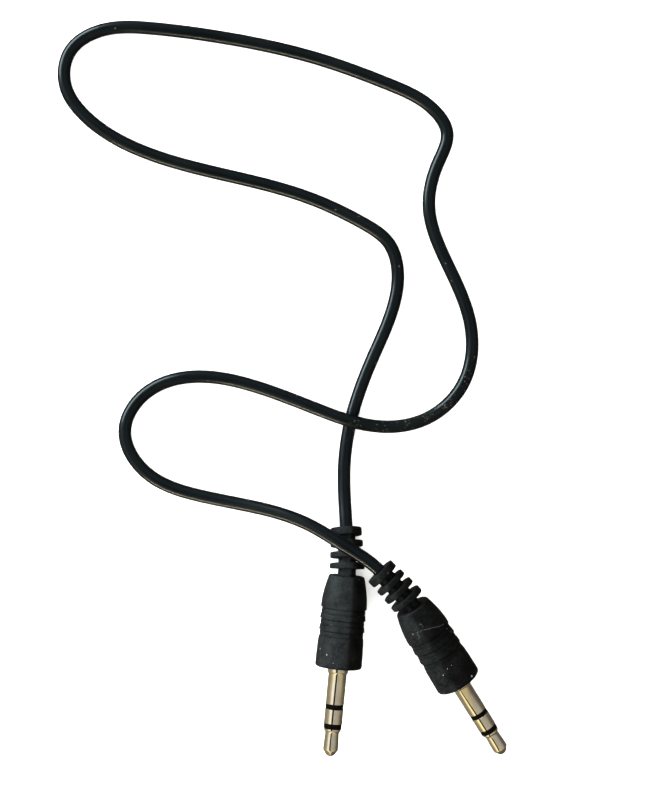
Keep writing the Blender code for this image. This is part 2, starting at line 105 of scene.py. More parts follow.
# Moulding: body, grip grooves and strain relief, as in the CAD
BODY_LENGTH = 0.0176
BODY_RADIUS = 0.00437
FRONT_RADIUS = 0.00447
FRONT_EDGE = 0.0005
FRONT_FLAT_START = 4 * FRONT_EDGE
FRONT_SINK = 0.00002
SHOULDER_RADIUS = 0.00345
SHOULDER_EDGE = 0.0004
SHOULDER_EDGE_END = 105
SHOULDER_SINK = 0.00001
TAPER_LENGTH = 0.0046
TAPER_REACH = 1.15
TAPER_POWER = 1.6
TAPER_STEPS = 12
GROOVE_COUNT = 3
GROOVE_START = 0.0062
GROOVE_PITCH = 0.00215
GROOVE_DEPTH = 0.00020
FRONT_WALL = 0.0009
HOLLOW_RADIUS = 0.0034
HOLLOW_LENGTH = 0.0118
FIN_COUNT = 4
FIN_THICKNESS = 0.00112
FIN_GAP = 0.00100
ROOT_GAP = 0.00125
END_FIN_THICKNESS = 0.00152
END_FIN_RADIUS = 0.0030
ROOT_FIN_RADIUS = 0.00336
FIN_EDGE = 0.00022
FIN_FOOT = FIN_EDGE / 2
RELIEF_CORE_RADIUS = 0.00172
CORE_BORE_RADIUS = 0.00112
JACK_OPENING = 0.00226
BEND_EASING = 0.0016
BEND_STEPS = 24
RELIEF_LENGTH = ROOT_GAP + (FIN_COUNT - 1) * (FIN_GAP + FIN_THICKNESS) + END_FIN_THICKNESS
MOULD_SIDES = 180
MOULD_SHARP_DEGREES = 40.0

# Parting line of the two mould halves: a fine ridge, and a web between the fins
SEAM_HEIGHT = 0.00004
SEAM_WIDTH = 0.07
WEB_HEIGHT = 0.00042
WEB_WIDTH = 0.26
WEB_SQUARENESS = 8
# How softly each moulding's painted lit side and painted shaded side blend across its parting line
PAINTED_LIGHT_BLEND = 0.10

# A grip groove's cross-section: shares of its pitch and its depth. A narrow notch, then a slope
GROOVE_SHAPE = (
    (0.025, 0.9), (0.05, 1.6), (0.08, 1.65), (0.11, 1.2), (0.16, 1.0), (0.3, 0.98),
    (0.46, 0.9), (0.49, 1.35), (0.53, 1.35), (0.57, 0.62), (0.75, 0.38), (1.0, 0.0),
)

# How each plug lies: its strain relief's bends, and where its parting line is from the top, which is
# also where its painted light and painted shade meet
PLUGS = {
    "_a": {
        "bend_aside": math.radians(7.5),
        "bend_down": math.radians(10.0),
        "seam": math.radians(-20.0),
    },
    "_b": {
        "bend_aside": math.radians(12.8),
        "bend_down": math.radians(9.0),
        "seam": math.radians(14.0),
    },
}

# Jack, from the moulding's front face to the tip, as in the CAD
JACK_RADIUS = 0.00175
COLLAR_RADIUS = 0.00196
COLLAR_LENGTH = 0.00085
COLLAR_BEVEL = 0.0004
SLEEVE_LENGTH = 0.00575
SLEEVE_BAND_WIDTH = 0.0009
RING_LENGTH = 0.0028
RING_BAND_WIDTH = 0.00095
TIP_LENGTH = 0.0053
TIP_BASE_RADIUS = 0.00162
TIP_NECK_RADIUS = 0.00133
TIP_BALL_RADIUS = 0.00145
TIP_BASE_LENGTH = 0.0004
TIP_NOSE_LENGTH = 0.00125
TIP_ROD_BORE = 0.0002
TIP_ROD_RADIUS = 0.00050
TIP_TUBE_RADIUS = 0.00081
RING_TUBE_RADIUS = 0.00111
RING_SHEATH_RADIUS = 0.00142
BASE_SET_IN = 0.0013
BAND_RECESS = 0.00004
NEST_GAP = 0.00005
FACE_GAP = 0.00003
EDGE_BREAK = 0.00005
JACK_SIDES = 96
JACK_SHARP_DEGREES = 32.0
JACK_LENGTH = (
    COLLAR_LENGTH + COLLAR_BEVEL + SLEEVE_LENGTH + SLEEVE_BAND_WIDTH
    + RING_LENGTH + RING_BAND_WIDTH + TIP_LENGTH
)

# The tip's waist, as (x past the base's end, radius over the neck's), its ball, as (x past
# the widest place, radius under the ball's), and its nose, as (x before the end, radius)
TIP_WAIST = ((0.0003, 0.00003), (0.0005, 0.0), (0.0009, 0.00001), (0.0020, 0.00007))
TIP_BALL = ((-0.0004, 0.00001), (0.0, 0.0), (0.00015, 0.00006), (0.0003, 0.0002))
TIP_NOSE = (
    (0.00035, 0.00088), (0.00016, 0.00066), (0.00005, 0.00045), (0.0, 0.00022), (0.0, 0.00002),
)

# A pale fibre stuck across plug b's moulding: lines of (x, y) points seen from above
FIBRE_WIDTH = 0.000035
FIBRE = (
    (
        (0.00074, 0.00274), (0.00121, 0.00284), (0.00159, 0.00312), (0.00215, 0.00325),
        (0.0029, 0.0034), (0.00384, 0.00368), (0.00479, 0.00374), (0.00573, 0.00406),
        (0.00629, 0.00453),
    ),
    (
        (0.00629, 0.00331), (0.00686, 0.00302), (0.00742, 0.00246),
    ),
    (
        (0.0013, 0.00443), (0.00187, 0.00406), (0.00178, 0.00359), (0.00215, 0.00321),
    ),
    (
        (0.00074, 0.00274), (0.00093, 0.00227), (0.0013, 0.00189), (0.00112, 0.00152),
    ),
)

# Larger flecks stuck to the mouldings, each from one (x, y) point to the next
FLECKS = (
    ((-0.01744, -0.00090), (-0.01738, -0.00078)),
    ((-0.01498, -0.00331), (-0.01492, -0.00329)),
    ((0.00573, -0.00560), (0.00581, -0.00552)),
    ((0.00651, -0.00428), (0.00655, -0.00420)),
    ((0.00730, -0.00360), (0.00733, -0.00357)),
)
FLECK_WIDTH = 0.00005

# The marks' edges: a stroke shows where this noise is over the limit, and a speck is full
# out to this share of its size
STROKE_NOISE = 1800.0
STROKE_GAPS = 0.42
SPECK_CORE = 0.55

# Where more dust has stuck to the cord
DUSTY_PLACES = ((0.0095, 0.0470, 0.0022), (-0.0060, 0.0412, 0.0040), (0.0030, 0.0425, 0.0026))
DUSTY_REACH = 0.008

# Sky: its brightness by how far a direction leans to the right, as x over z, its tone, and
# the tones that the gloss sees below the horizon
SKY_SPAN = 4.0
SKY = (
    (-4.0, 0.34),
    (-2.6, 0.40),
    (-1.7, 0.62),
    (-1.2, 0.98),
    (-0.50, 1.02),
    (-0.40, 0.03),
    (-0.08, 0.01),
    (-0.02, 0.46),
    (1.2, 0.38),
    (4.0, 0.16),
)
SKY_TONE = (1.0, 0.98, 0.90)
GROUND_LEFT = (0.28, 0.26, 0.21)
GROUND_RIGHT = (0.11, 0.10, 0.085)

# The sky's warm part, towards the front: where it starts and is full, as y over z
WARM_TONE = (1.35, 1.18, 0.72)
WARM_FROM = -0.60
WARM_TO = -0.95

# Lights: place, size, power and colour. All face the same point
LIGHTS_AIM = (-0.02, 0.03, 0.0)
LIGHTS = {
    "overhead": ((-0.02, 0.05, 0.9), (1.8, 1.8), 42.0, (1.0, 1.0, 1.0)),
    "fill": ((-0.62, 0.16, 0.36), (0.8, 0.5), 14.0, (0.94, 0.98, 1.0)),
    "window": ((-0.52, 0.46, 0.25), (0.7, 0.30), 14.0, (0.84, 0.96, 1.0)),
    "strip": ((-0.34, -0.52, 0.09), (0.32, 0.025), 3.4, (1.0, 0.82, 0.60)),
}

# Floor
FLOOR_HALF = 3.0
FLOOR_TONE = ((0.3, 0.90), (0.7, 0.93))

# Tones and roughnesses that follow a noise, as (the noise's value, what it gives)
# The moulding's first two ramps are painted light and shade: the paler one for its left side, which
# faces the light, the darker one for its right side, which is in shade
MOULDING_PAINTED_LIT = ((0.40, (0.0014, 0.0018, 0.0019)), (0.62, (0.0074, 0.0082, 0.0082)))
MOULDING_PAINTED_SHADE = ((0.42, (0.0004, 0.0005, 0.0005)), (0.66, (0.0026, 0.0026, 0.0024)))
MOULDING_ROUGHNESS = ((0.3, 0.46), (0.75, 0.62))
JACKET_TONE = ((0.3, (0.0003, 0.0007, 0.0010)), (0.7, (0.0010, 0.0016, 0.0020)))
JACKET_ROUGHNESS = ((0.3, 0.25), (0.75, 0.36))
NICKEL_TONE = ((0.3, (0.84, 0.75, 0.57)), (0.7, (0.97, 0.89, 0.73)))
NICKEL_ROUGHNESS = ((0.3, 0.05), (0.8, 0.11))
BAND_TONE = ((0.3, (0.0006, 0.0004, 0.0003)), (0.7, (0.0022, 0.0016, 0.0012)))

# The coarse and the fine noise's shares in the moulding's blotches
COARSE_SHARE = 0.45
FINE_SHARE = 0.55

# Colours of what has stuck to the plastic
DUST_TONE = (0.050, 0.048, 0.042)
GRIT_TONE = (0.15, 0.14, 0.125)
FLECK_TONE = (0.16, 0.155, 0.145)
FIBRE_TONE = (0.034, 0.034, 0.032)
CORD_DUST_TONE = (0.08, 0.07, 0.055)
CORD_CLUSTER_TONE = (0.085, 0.072, 0.050)

# Pieces inside the plugs, by record slot: finish name, dark tone, light tone, roughness,
# metallic and the scale of its noise
INNER_FINISHES = {
    "tinned_brass": (
        "tinned_brass_plate", (0.46, 0.42, 0.34), (0.66, 0.62, 0.54), 0.34, 1.0, 1500.0
    ),
    "block_plastic": ("white_nylon", (0.68, 0.69, 0.66), (0.80, 0.80, 0.77), 0.50, 0.0, 900.0),
    "red_insulation": ("red_pvc", (0.38, 0.012, 0.012), (0.50, 0.03, 0.025), 0.42, 0.0, 1200.0),
    "white_insulation": ("white_pvc", (0.70, 0.69, 0.65), (0.82, 0.81, 0.78), 0.42, 0.0, 1200.0),
    "bare_copper": ("copper_strands", (0.56, 0.26, 0.14), (0.80, 0.45, 0.28), 0.30, 1.0, 4000.0),
    "solder": ("solder_bead", (0.50, 0.51, 0.52), (0.72, 0.72, 0.72), 0.28, 1.0, 2500.0),
}


def camera():
    """The camera straight above, its top towards +Y."""
    data = bpy.data.cameras.new("camera")
    data.sensor_fit = "VERTICAL"
    data.sensor_height = SENSOR
    data.lens = FOCAL_LENGTH
    data.clip_start = 0.01
    obj = bpy.data.objects.new("camera", data)
    obj.location = CAMERA_PLACE
    bpy.context.scene.collection.objects.link(obj)
    bpy.context.scene.camera = obj


def plug_frame(suffix):
    """The matrix that takes a plug's own drawing to where the CAD has it."""
    node = frame["nodes"]["tip_contact" + suffix]
    points = np.array([node.matrix_world @ vert.co for vert in node.data.vertices])
    middle = points.mean(axis=0)
    _, _, directions = np.linalg.svd(points - middle)
    along = Vector(directions[0])
    if along.y > 0.0:
        along.negate()
    tip = max((Vector(point) - Vector(middle)).dot(along) for point in points)
    front = Vector(middle) + along * (tip - JACK_LENGTH)
    across = Vector((0.0, 0.0, 1.0)).cross(along).normalized()
    up = along.cross(across)
    rows = Matrix((along, across, up)).transposed().to_4x4()
    rows.translation = front
    return rows


def relief_station(behind, plug):
    """How far back and aside the relief's middle is here, and how far it has turned."""
    bend = math.hypot(plug["bend_aside"], plug["bend_down"])
    back = aside = 0.0
    step = behind / BEND_STEPS
    for index in range(BEND_STEPS):
        turned = bend * (1.0 - math.exp(-(index + 0.5) * step / BEND_EASING))
        back += step * math.cos(turned)
        aside += step * math.sin(turned)
    return back, aside, bend * (1.0 - math.exp(-behind / BEND_EASING))


def bent_ring(x, ring, plug):
    """A ring of (y, z) points at this station, carried along by the relief's bend."""
    behind = -BODY_LENGTH - x
    places = [Vector((0.0, y, z)) for y, z in ring]
    if behind <= 0.0:
        return [Vector((x, place.y, place.z)) for place in places]
    back, aside, turned = relief_station(behind, plug)
    side = Vector((0.0, -plug["bend_aside"], -plug["bend_down"])).normalized()
    moved = []
    for place in places:
        across = place.dot(side)
        along = -BODY_LENGTH - back + across * math.sin(turned)
        rest = place - side * across
        moved.append(Vector((along, 0.0, 0.0)) + side * (aside + across * math.cos(turned)) + rest)
    return moved


def arc(centre, radius, start, end, count):
    """Points on an arc in the (x, radius) plane, from one angle to another, in degrees."""
    turns = [math.radians(start + (end - start) * index / (count - 1)) for index in range(count)]
    return [(centre[0] + radius * math.cos(t), centre[1] + radius * math.sin(t)) for t in turns]


def body_outline():
    """The moulding's outside from the shoulder to the front face, with rounded edges."""
    middle = (-BODY_LENGTH + SHOULDER_EDGE, SHOULDER_RADIUS - SHOULDER_EDGE)
    points = arc(middle, SHOULDER_EDGE, 180, SHOULDER_EDGE_END, 6)
    rise = BODY_RADIUS - points[-1][1]
    start = points[-1][0]
    length = -BODY_LENGTH + GROOVE_START - start
    for index in range(1, TAPER_STEPS + 1):
        along = index / TAPER_STEPS * length
        left = 1.0 - min(along / (TAPER_LENGTH * TAPER_REACH), 1.0)
        risen = rise * (1.0 - left**TAPER_POWER)
        points.append((start + along, SHOULDER_RADIUS - SHOULDER_SINK + risen))
    for index in range(GROOVE_COUNT):
        ridge = -BODY_LENGTH + GROOVE_START + index * GROOVE_PITCH
        for share, depth in GROOVE_SHAPE:
            points.append((ridge + share * GROOVE_PITCH, BODY_RADIUS - depth * GROOVE_DEPTH))
    points.append((-FRONT_FLAT_START, FRONT_RADIUS - FRONT_SINK))
    points += arc((-FRONT_EDGE, FRONT_RADIUS - FRONT_EDGE), FRONT_EDGE, 90, 0, 7)
    return points


def relief_outline():
    """The strain relief's outside from the cord's end to the shoulder, with rounded fins."""
    points = []
    foot_height = RELIEF_CORE_RADIUS + FIN_FOOT
    start = -BODY_LENGTH - RELIEF_LENGTH
    for index in range(FIN_COUNT):
        share = index / (FIN_COUNT - 1)
        radius = END_FIN_RADIUS + share * (ROOT_FIN_RADIUS - END_FIN_RADIUS)
        end = start + (END_FIN_THICKNESS if index == 0 else FIN_THICKNESS)
        if index:
            points += arc((start - FIN_FOOT, foot_height), FIN_FOOT, -90, 0, 4)
        else:
            points += arc((start + FIN_FOOT, CORD_RADIUS + FIN_FOOT), FIN_FOOT, -90, -180, 4)
        points += arc((start + FIN_EDGE, radius - FIN_EDGE), FIN_EDGE, 180, 90, 5)
        points += arc((end - FIN_EDGE, radius - FIN_EDGE), FIN_EDGE, 90, 0, 5)
        points += arc((end + FIN_FOOT, foot_height), FIN_FOOT, 180, 270, 4)
        start = end + FIN_GAP
    points += arc((-BODY_LENGTH - FIN_FOOT, foot_height), FIN_FOOT, -90, 0, 4)
    return points


def hollow_outline():
    """The moulding's inside, from the front opening back to the cord's end."""
    hollow_end = -FRONT_WALL - HOLLOW_LENGTH
    cord_end = -BODY_LENGTH - RELIEF_LENGTH + 2 * CORD_INSIDE
    return [
        (0.0, JACK_OPENING + FIN_FOOT),
        (-FIN_FOOT, JACK_OPENING),
        (-FRONT_WALL, JACK_OPENING),
        (-FRONT_WALL, HOLLOW_RADIUS),
        (hollow_end, HOLLOW_RADIUS),
        (hollow_end, CORE_BORE_RADIUS),
        (-BODY_LENGTH, CORE_BORE_RADIUS),
        (-BODY_LENGTH - BEND_EASING, CORE_BORE_RADIUS),
        (-BODY_LENGTH - 2 * BEND_EASING, CORE_BORE_RADIUS),
        (cord_end, CORE_BORE_RADIUS),
        (cord_end, CORD_RADIUS),
    ]


def seam_lift(x, radius, turned, plug):
    """How far the parting line and the web stand up at this place on the moulding."""
    nearest = abs(math.remainder(turned - plug["seam"], math.pi))
    lift = SEAM_HEIGHT * math.exp(-nearest / SEAM_WIDTH)
    if x < -BODY_LENGTH and radius < RELIEF_CORE_RADIUS + FIN_EDGE:
        lift += WEB_HEIGHT / (1.0 + (nearest / WEB_WIDTH) ** WEB_SQUARENESS)
    return lift


def ring_mesh(name, rings):
    """A mesh skinned over these rings of points: each joins the next, and the last the first."""
    sides = len(rings[0])
    faces = []
    for row in range(len(rings)):
        here = row * sides
        there = (row + 1) % len(rings) * sides
        for side in range(sides):
            after = (side + 1) % sides
            faces.append((here + side, here + after, there + after, there + side))
    mesh = bpy.data.meshes.new(name)
    mesh.from_pydata([tuple(point) for ring in rings for point in ring], [], faces)
    return mesh


def finished(name, mesh, place, finish, sharp_degrees, node):
    """The object of this mesh, in place, riding on the root and standing for this CAD node."""
    mesh.transform(place)
    if signed_volume(mesh) < 0.0:
        mesh.flip_normals()
    mesh.shade_smooth()
    mesh.set_sharp_from_angle(angle=math.radians(sharp_degrees))
    mesh.materials.append(finish)
    obj = bpy.data.objects.new(name, mesh)
    bpy.context.scene.collection.objects.link(obj)
    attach(obj, "root")
    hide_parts(node)
    return obj


def signed_volume(mesh):
    """The mesh's volume, negative if its faces point inwards."""
    mesh.calc_loop_triangles()
    total = 0.0
    for triangle in mesh.loop_triangles:
        a, b, c = (mesh.vertices[i].co for i in triangle.vertices)
        total += a.dot(b.cross(c)) / 6.0
    return total


def mark_painted_light_sides(mesh, plug):
    """Writes a mask of painted light and shade: 1 on the plug's left, painted lit, 0 on its right,
    painted in shade, blended across the parting line.
    """
    painted_light_side = mesh.color_attributes.new("painted_light_side", "FLOAT_COLOR", "POINT")
    for index, item in enumerate(painted_light_side.data):
        turned = math.tau * (index % MOULD_SIDES) / MOULD_SIDES
        left = 0.5 + 0.5 * math.tanh(math.sin(turned - plug["seam"]) / PAINTED_LIGHT_BLEND)
        item.color = (left, left, left, 1.0)


def moulding(suffix, place, finish):
    """The black moulding: body and strain relief in one, bent where the cord pulls it."""
    name = "moulding" + suffix
    plug = PLUGS[suffix]
    outside = relief_outline() + body_outline()
    rings = []
    for index, (x, radius) in enumerate(outside + hollow_outline()):
        ring = []
        for side in range(MOULD_SIDES):
            turned = math.tau * side / MOULD_SIDES
            lift = seam_lift(x, radius, turned, plug) if index < len(outside) else 0.0
            here = radius + lift
            ring.append((-here * math.sin(turned), here * math.cos(turned)))
        rings.append(bent_ring(x, ring, plug))
    mesh = ring_mesh(name, rings)
    # Marks where the moulding gets painted light and where it gets painted shade
    mark_painted_light_sides(mesh, plug)
    sharp = MOULD_SHARP_DEGREES
    return finished(name, mesh, place, finish, sharp, "overmould" + suffix)


def turned_piece(name, outline, place, finish, node):
    """A piece turned about the plug's axis from a closed (x, radius) outline."""
    rings = []
    for x, radius in outline:
        ring = []
        for side in range(JACK_SIDES):
            turned = math.tau * side / JACK_SIDES
            ring.append(Vector((x, -radius * math.sin(turned), radius * math.cos(turned))))
        rings.append(ring)
    mesh = ring_mesh(name, rings)
    return finished(name, mesh, place, finish, JACK_SHARP_DEGREES, node)


def broken_edge(x, radius, facing):
    """The two points of a fine chamfer on a corner whose flat side faces +X (1) or -X (-1)."""
    near = (x, radius - EDGE_BREAK)
    far = (x - facing * EDGE_BREAK, radius)
    return [far, near] if facing > 0 else [near, far]


def smooth_route(route, spacing):
    """Evenly spaced points on the natural cubic spline through the route, and its length."""
    knots = np.array(route)
    spans = np.linalg.norm(np.diff(knots, axis=0), axis=1)
    times = np.concatenate([[0.0], np.cumsum(spans)])
    matrix = np.eye(len(knots))
    target = np.zeros_like(knots)
    for i in range(1, len(knots) - 1):
        matrix[i, i - 1 : i + 2] = spans[i - 1], 2 * (spans[i - 1] + spans[i]), spans[i]
        slopes = np.diff(knots[i - 1 : i + 2], axis=0) / spans[i - 1 : i + 1, None]
        target[i] = 6 * (slopes[1] - slopes[0])
    bends = np.linalg.solve(matrix, target)
    fine = np.linspace(0.0, times[-1], SPLINE_FINENESS * len(knots))
    which = np.clip(np.searchsorted(times, fine, side="right") - 1, 0, len(spans) - 1)
    span = spans[which, None]
    before = fine[:, None] - times[which, None]
    after = span - before
    curve = (bends[which] * after**3 + bends[which + 1] * before**3) / (6 * span)
    curve += (knots[which] / span - bends[which] * span / 6) * after
    curve += (knots[which + 1] / span - bends[which + 1] * span / 6) * before
    along = np.concatenate([[0.0], np.cumsum(np.linalg.norm(np.diff(curve, axis=0), axis=1))])
    even = np.linspace(0.0, along[-1], int(along[-1] / spacing) + 1)
    points = np.column_stack([np.interp(even, along, curve[:, axis]) for axis in range(3)])
    return points, float(along[-1])


def relief_point(place, plug, behind):
    """The middle of a placed plug's strain relief, this far behind the shoulder."""
    return place @ bent_ring(-BODY_LENGTH - behind, [(0.0, 0.0)], plug)[0]


def free_cord(places, finish):
    """The cord's jacket, from inside one strain relief to inside the other."""
    ends = {
        suffix: relief_point(places[suffix], PLUGS[suffix], RELIEF_LENGTH - CORD_INSIDE)
        for suffix in PLUGS
    }
    points, length = smooth_route((ends["_a"], *ROUTE, ends["_b"]), CORD_SPACING)
    curve = bpy.data.curves.new("cord", "CURVE")
    curve.dimensions = "3D"
    curve.bevel_depth = CORD_RADIUS
    curve.bevel_resolution = CORD_SIDES_LEVEL
    curve.use_fill_caps = True
    spline = curve.splines.new("POLY")
    spline.points.add(len(points) - 1)
    for point, at in zip(spline.points, points):
        point.co = (*at, 1.0)
    spline.use_smooth = True
    curve.materials.append(finish)
    obj = bpy.data.objects.new("cord", curve)
    bpy.context.scene.collection.objects.link(obj)
    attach(obj, "root")
    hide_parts("cord_jacket")
    return obj


def jack(suffix, place, nickel, plastic):
    """The jack's contacts and the two insulating bands between them."""
    sleeve_end = COLLAR_LENGTH + COLLAR_BEVEL + SLEEVE_LENGTH
    ring_start = sleeve_end + SLEEVE_BAND_WIDTH
    ring_end = ring_start + RING_LENGTH
    tip_start = ring_end + RING_BAND_WIDTH
    sleeve_bore = RING_SHEATH_RADIUS + NEST_GAP
    ring_bore = TIP_TUBE_RADIUS + NEST_GAP
    sleeve = [
        (-BASE_SET_IN, sleeve_bore),
        (-BASE_SET_IN, COLLAR_RADIUS),
        *broken_edge(COLLAR_LENGTH + EDGE_BREAK, COLLAR_RADIUS, 1),
        (COLLAR_LENGTH + COLLAR_BEVEL, JACK_RADIUS),
        *broken_edge(sleeve_end, JACK_RADIUS, 1),
        (sleeve_end, sleeve_bore),
    ]
    turned_piece("sleeve" + suffix, sleeve, place, nickel, "sleeve_contact" + suffix)
    ring = [
        (-BASE_SET_IN, ring_bore),
        (-BASE_SET_IN, RING_TUBE_RADIUS),
        (ring_start, RING_TUBE_RADIUS),
        *broken_edge(ring_start, JACK_RADIUS, -1),
        *broken_edge(ring_end, JACK_RADIUS, 1),
        (ring_end, ring_bore),
    ]
    turned_piece("ring" + suffix, ring, place, nickel, "ring_contact" + suffix)
    sleeve_band = band_outline(RING_TUBE_RADIUS, RING_SHEATH_RADIUS, sleeve_end, ring_start)
    node = "ring_insulator" + suffix
    turned_piece("sleeve_band" + suffix, sleeve_band, place, plastic, node)
    ring_band = band_outline(TIP_ROD_RADIUS, TIP_TUBE_RADIUS, ring_end, tip_start)
    node = "tip_insulator" + suffix
    turned_piece("ring_band" + suffix, ring_band, place, plastic, node)
    base_end = tip_start + TIP_BASE_LENGTH
    tip_end = tip_start + TIP_LENGTH
    ball = tip_end - TIP_NOSE_LENGTH
    tip = [
        (-BASE_SET_IN, TIP_ROD_BORE),
        (-BASE_SET_IN, TIP_ROD_RADIUS),
        (tip_start, TIP_ROD_RADIUS),
        *broken_edge(tip_start, TIP_BASE_RADIUS, -1),
        *broken_edge(base_end, TIP_BASE_RADIUS, 1),
        *((base_end + along, TIP_NECK_RADIUS + more) for along, more in TIP_WAIST),
        *((ball + along, TIP_BALL_RADIUS - less) for along, less in TIP_BALL),
        *((tip_end - before, radius) for before, radius in TIP_NOSE),
    ]
    turned_piece("tip" + suffix, tip, place, nickel, "tip_contact" + suffix)


def band_outline(inner, outer, start, end):
    """A black band from start to end on the jack, with its tube running back through it."""
    band_radius = JACK_RADIUS - BAND_RECESS
    return [
        (-BASE_SET_IN, inner + NEST_GAP),
        (-BASE_SET_IN, outer),
        (start + FACE_GAP, outer),
        (start + FACE_GAP, band_radius),
        (end - FACE_GAP, band_radius),
        (end - FACE_GAP, inner + NEST_GAP),
    ]


class Nodes:
    """Short ways to add nodes to one node tree."""

    def __init__(self, tree):
        self.nodes = tree.nodes
        self.links = tree.links

    def feed(self, socket, value):
        """Sets this socket, or links it to another node's output."""
        if isinstance(value, bpy.types.NodeSocket):
            self.links.new(value, socket)
        else:
            socket.default_value = value

    def math(self, operation, first, second):
        node = self.nodes.new("ShaderNodeMath")
        node.operation = operation
        self.feed(node.inputs[0], first)
        self.feed(node.inputs[1], second)
        return node.outputs["Value"]

    def vector(self, operation, first, second=(0.0, 0.0, 0.0)):
        node = self.nodes.new("ShaderNodeVectorMath")
        node.operation = operation
        self.feed(node.inputs[0], first)
        self.feed(node.inputs[1], second)
        gives_number = operation in ("DOT_PRODUCT", "LENGTH", "DISTANCE")
        return node.outputs["Value" if gives_number else "Vector"]

    def scaled(self, vector, by):
        node = self.nodes.new("ShaderNodeVectorMath")
        node.operation = "SCALE"
        self.feed(node.inputs[0], vector)
        self.feed(node.inputs["Scale"], by)
        return node.outputs["Vector"]

    def mixed(self, fac, first, second):
        """A colour between two, each a tuple or another node's output."""
        node = self.nodes.new("ShaderNodeMix")
        node.data_type = "RGBA"
        self.feed(node.inputs["Factor"], fac)
        for socket, value in ((node.inputs[6], first), (node.inputs[7], second)):
            self.feed(socket, (*value, 1.0) if isinstance(value, tuple) else value)
        return node.outputs[2]

    def ranged(self, value, start, end):
        """0 up to where the value is at its start, then evenly to 1 at its end."""
        node = self.nodes.new("ShaderNodeMapRange")
        node.inputs["From Min"].default_value = start
        node.inputs["From Max"].default_value = end
        self.feed(node.inputs["Value"], value)
        return node.outputs["Result"]

    def ramp(self, source, stops):
        """Tones or numbers by the source's value, from (value, tone or number) stops."""
        node = self.nodes.new("ShaderNodeValToRGB")
        elements = node.color_ramp.elements
        while len(elements) < len(stops):
            elements.new(0.5)
        for element, (position, value) in zip(elements, stops):
            element.position = position
            color = value if isinstance(value, tuple) else (value, value, value)
            element.color = (*color, 1.0)
        self.feed(node.inputs["Fac"], source)
        return node.outputs["Color"]


class Shader(Nodes):
    """A new material with a Principled shader. Its patterns lie in the lead's own space."""

    def __init__(self, name):
        self.material = bpy.data.materials.new(name)
        self.material.use_nodes = True
        super().__init__(self.material.node_tree)
        self.principled = self.nodes["Principled BSDF"]
        self.place = self.nodes.new("ShaderNodeTexCoord").outputs["Object"]

    def set(self, **values):
        for name, value in values.items():
            self.principled.inputs[name.replace("_", " ")].default_value = value

    def link(self, source, name):
        self.links.new(source, self.principled.inputs[name])

    def attribute(self, name):
        node = self.nodes.new("ShaderNodeVertexColor")
        node.layer_name = name
        return node.outputs["Color"]

    def noise(self, scale, detail=2.0, roughness=0.5):
        node = self.nodes.new("ShaderNodeTexNoise")
        node.inputs["Scale"].default_value = scale
        node.inputs["Detail"].default_value = detail
        node.inputs["Roughness"].default_value = roughness
        self.links.new(self.place, node.inputs["Vector"])
        return node.outputs["Fac"]

    def strokes(self, lines, width):
        """Thin broken marks, along these lines of (x, y) points seen from above."""
        flat = self.vector("MULTIPLY", self.place, (1.0, 1.0, 0.0))
        nearest = 1.0
        for line in lines:
            for first, second in zip(line, line[1:]):
                along = (second[0] - first[0], second[1] - first[1], 0.0)
                offset = self.vector("SUBTRACT", flat, (*first, 0.0))
                share = self.vector("DOT_PRODUCT", offset, along)
                share = self.math("DIVIDE", share, along[0] ** 2 + along[1] ** 2)
                share = self.math("MINIMUM", self.math("MAXIMUM", share, 0.0), 1.0)
                gap = self.vector("SUBTRACT", offset, self.scaled(along, share))
                nearest = self.math("MINIMUM", self.vector("LENGTH", gap), nearest)
        on_line = self.math("LESS_THAN", nearest, width)
        shown = self.math("GREATER_THAN", self.noise(STROKE_NOISE), STROKE_GAPS)
        return self.math("MULTIPLY", on_line, shown)

    def near(self, spot, reach):
        """1 at this spot, falling to 0 at this distance from it."""
        away = self.math("DIVIDE", self.vector("DISTANCE", self.place, spot), reach)
        return self.math("SUBTRACT", 1.0, self.math("MINIMUM", away, 1.0))

    def specks(self, scale, size, share):
        """Small spots, one in the cells that are kept: share of all the cells."""
        node = self.nodes.new("ShaderNodeTexVoronoi")
        node.inputs["Scale"].default_value = scale
        self.links.new(self.place, node.inputs["Vector"])
        stops = ((0.0, 1.0), (size * SPECK_CORE, 1.0), (size, 0.0))
        spots = self.ramp(node.outputs["Distance"], stops)
        pick = self.nodes.new("ShaderNodeSeparateColor")
        self.links.new(node.outputs["Color"], pick.inputs["Color"])
        kept = self.math("GREATER_THAN", pick.outputs["Red"], 1.0 - share)
        return self.math("MULTIPLY", spots, kept)

    def bumps(self, *layers):
        """Bump from (height, distance, strength) layers, one on the other."""
        normal = None
        for height, distance, strength in layers:
            node = self.nodes.new("ShaderNodeBump")
            node.inputs["Strength"].default_value = strength
            node.inputs["Distance"].default_value = distance
            self.links.new(height, node.inputs["Height"])
            if normal:
                self.links.new(normal, node.inputs["Normal"])
            normal = node.outputs["Normal"]
        self.link(normal, "Normal")


